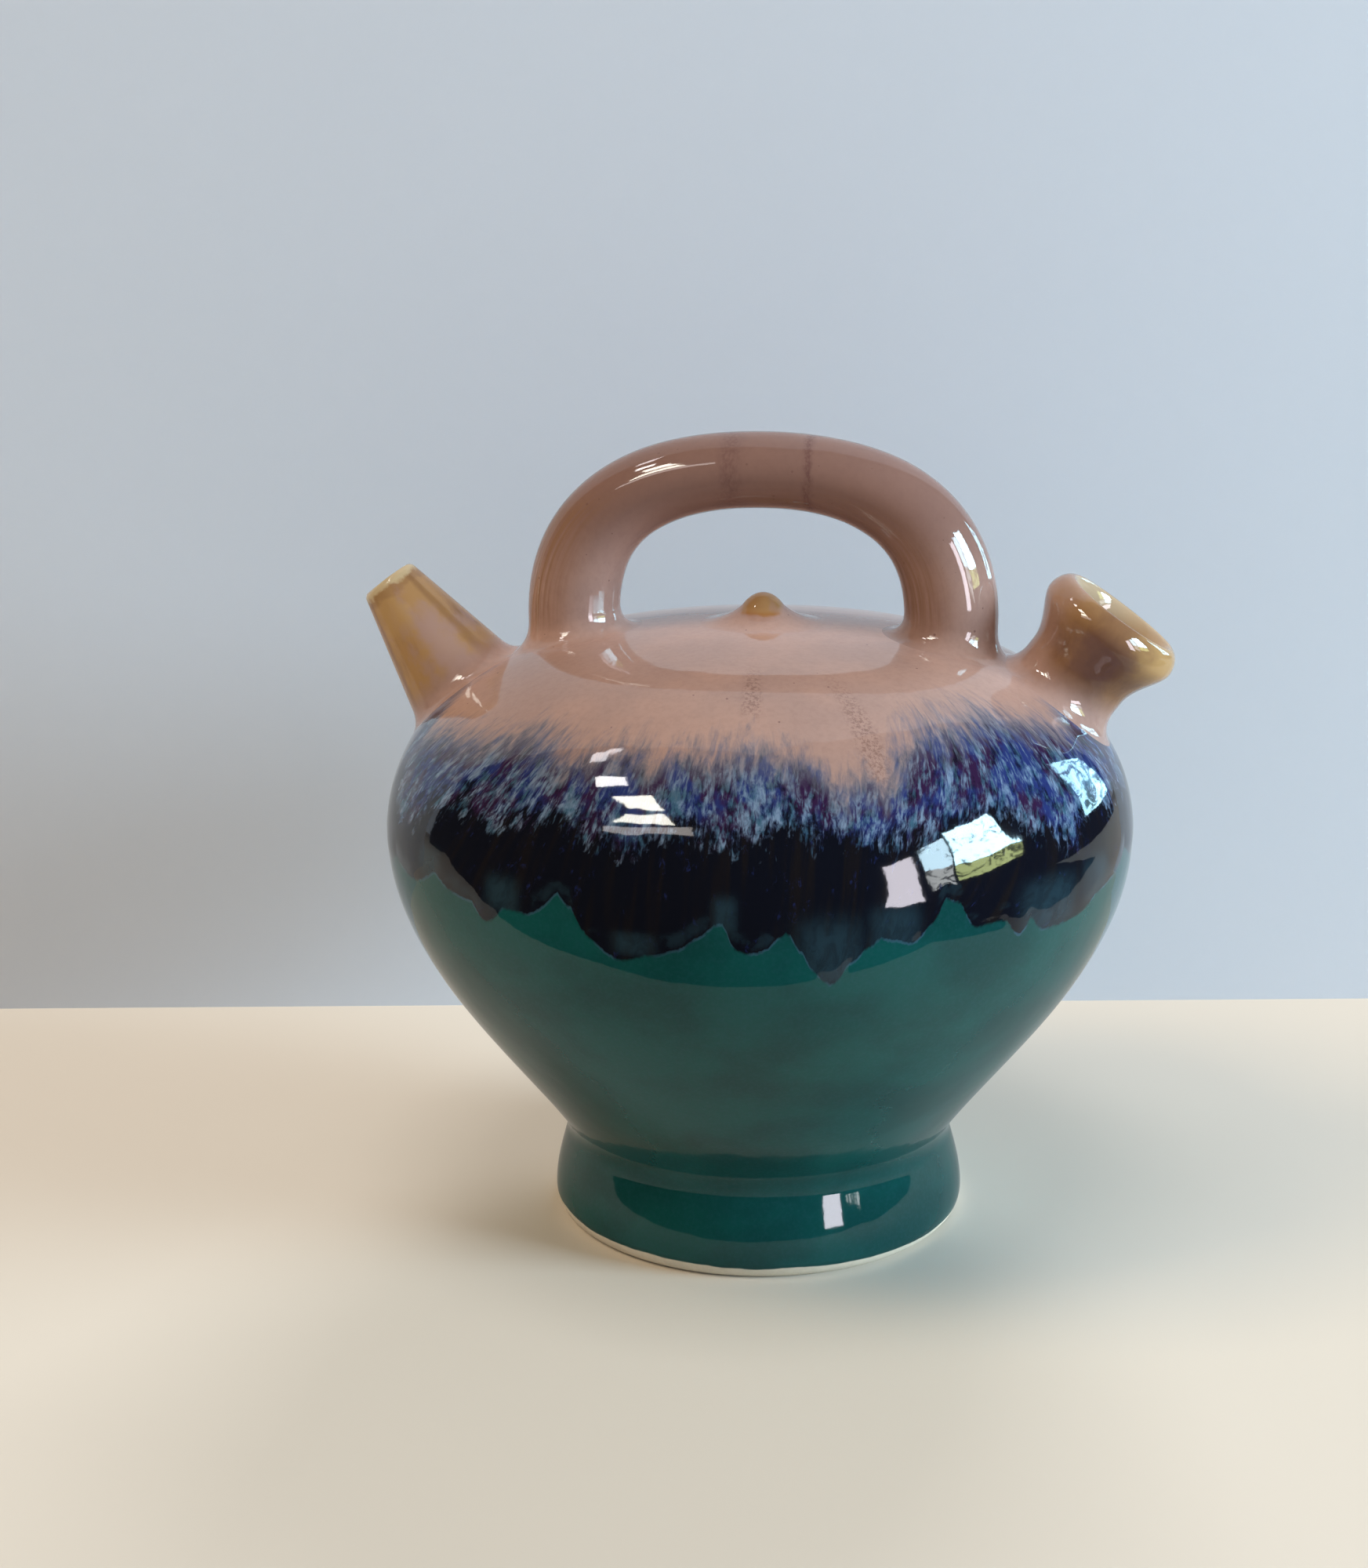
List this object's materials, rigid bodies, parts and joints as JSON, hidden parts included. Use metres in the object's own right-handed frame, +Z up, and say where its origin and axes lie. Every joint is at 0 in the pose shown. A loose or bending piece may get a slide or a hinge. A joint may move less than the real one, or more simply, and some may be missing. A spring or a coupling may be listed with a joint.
{
  "type": "drinking jug",
  "caption": "Round closed water jug with a basket handle over its crown, a cone drinking spout, a collared filling mouth and a turned foot ring.",
  "frame": {"origin": "on the turning axis of the body, at the flat underside of the foot ring", "axes": "+Z up along the turning axis, +X towards the filling mouth, -X towards the drinking spout, +Y across the handle"},
  "size_m": [0.1922, 0.1784, 0.19],
  "materials": {
    "foot_glaze": "glossy teal glaze over a cream unglazed standing edge",
    "teal_glaze": "glossy teal glaze under a dark blue running band",
    "mauve_glaze": "glossy pinkish mauve glaze that breaks into streaked blues",
    "handle_glaze": "glossy taupe glaze, browner on the legs",
    "spout_glaze": "glossy amber glaze with a pale rim",
    "mouth_glaze": "glossy amber brown glaze",
    "nub_glaze": "glossy amber glaze"
  },
  "bodies": {
    "root": {"foot_ring": "foot_glaze", "lower_body": "teal_glaze", "upper_body": "mauve_glaze", "handle": "handle_glaze", "drinking_spout": "spout_glaze", "filling_mouth": "mouth_glaze", "top_nub": "nub_glaze"}
  },
  "joints": []
}
